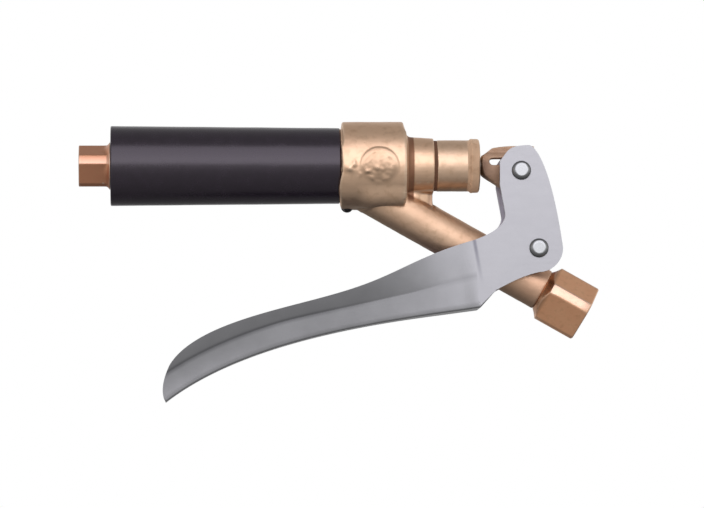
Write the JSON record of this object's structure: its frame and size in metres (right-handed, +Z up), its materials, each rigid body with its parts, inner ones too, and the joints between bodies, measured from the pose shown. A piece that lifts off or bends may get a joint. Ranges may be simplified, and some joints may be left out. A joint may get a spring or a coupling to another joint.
{
  "type": "hose spray nozzle",
  "caption": "Lever-operated spray gun for a hose: black grip over a barrel, cast valve body with inclined hose inlet, and a folded steel squeeze lever that pulls the valve stem.",
  "frame": {"origin": "Centre of the outlet mouth, on the axis of the barrel.", "axes": "+X runs along the barrel from the outlet to the packing nut, +Y points away from the side that the picture shows and is the lever's turning axis, and +Z is up, away from the lever."},
  "size_m": [0.2595, 0.0446, 0.1401],
  "materials": {
    "cast_brass": "satin cast brass with a fine sandy texture",
    "bar_brass": "drawn square brass, redder than the casting",
    "turned_brass": "machined brass",
    "grip_rubber": "smooth satin black rubber",
    "lever_steel": "satin zinc-plated sheet steel",
    "pin_steel": "bright steel",
    "seal_rubber": "matt black rubber",
    "fibre_seal": "graphited fibre",
    "black_screw": "black oxide steel"
  },
  "bodies": {
    "body": {"outlet_adapter": "bar_brass", "barrel_tube": "turned_brass", "grip_sleeve": "grip_rubber", "valve_body": "cast_brass", "retaining_screw": "black_screw", "inlet_coupling": "bar_brass", "inlet_washer": "seal_rubber", "seat_ring": "turned_brass", "bonnet_gasket": "fibre_seal", "packing_nut": "cast_brass", "packing_rings": "fibre_seal", "packing_gland": "turned_brass", "pivot_bush": "turned_brass", "return_spring": "pin_steel"},
    "stem": {"valve_stem": "pin_steel", "disc_holder": "turned_brass", "valve_washer": "seal_rubber", "disc_nut": "turned_brass", "stem_yoke": "cast_brass"},
    "lever_arm": {"lever": "lever_steel", "pivot_pin": "pin_steel", "yoke_pin": "pin_steel", "yoke_spacers": "turned_brass", "pin_washers": "pin_steel"}
  },
  "joints": [
    {"name": "lever_pivot", "type": "hinge", "parent": "body", "child": "lever_arm", "pos_m": [0.22828, 0, -0.04209], "axis": [0, 1, 0], "range_deg": [0, 12], "stiffness_Nm_per_rad": 6, "springref_deg": -8.59},
    {"name": "stem_slide", "type": "slide", "parent": "body", "child": "stem", "axis": [1, 0, 0], "range_m": [0, 0.00825], "deforming": ["return_spring"]}
  ],
  "couplings": [
    {"joint": "stem_slide", "follows": "lever_pivot", "m_per_rad": 0.039291}
  ]
}
